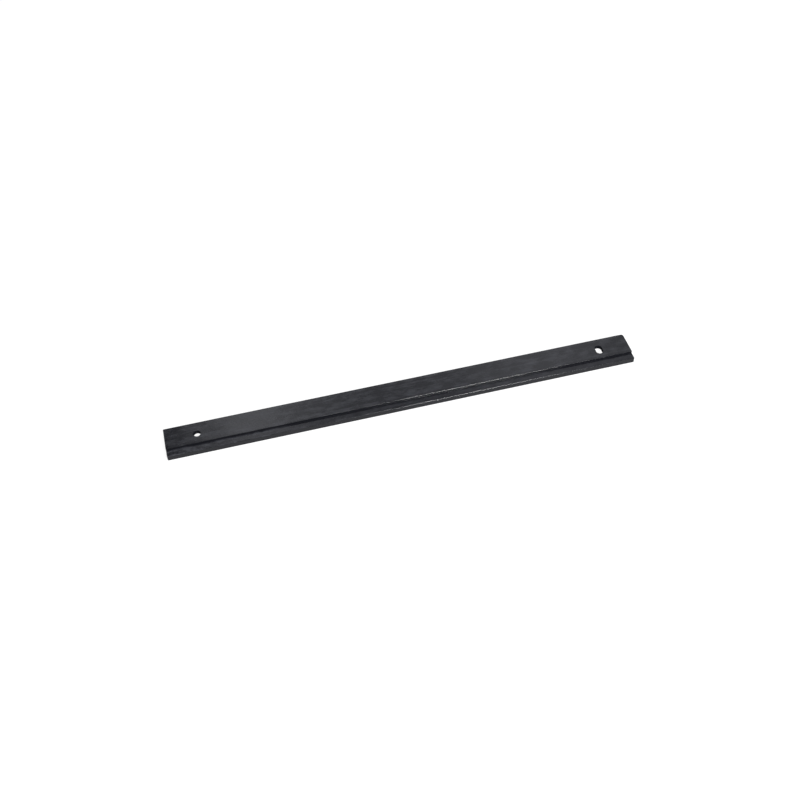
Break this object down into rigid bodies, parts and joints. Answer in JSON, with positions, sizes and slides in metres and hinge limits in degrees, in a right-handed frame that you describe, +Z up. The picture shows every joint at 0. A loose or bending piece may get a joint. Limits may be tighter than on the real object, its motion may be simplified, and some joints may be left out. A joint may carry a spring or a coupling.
{
  "type": "plow blade wear bar",
  "caption": "Stepped black plastic wear bar that bolts under the bottom edge of a small snow plow blade or snow thrower, with a round bolt hole near one end and a slot near the other.",
  "frame": {"origin": "middle of the footprint, on the wear face that the bar lies on", "axes": "+X along the bar from the round hole to the slot, +Y from the wear edge to the mounting edge, +Z up from the wear face to the top of the web"},
  "size_m": [0.52, 0.0362, 0.0095],
  "materials": {
    "moulded_black": "satin, lightly mottled"
  },
  "bodies": {
    "root": {"wear_bar": "moulded_black"}
  },
  "joints": []
}
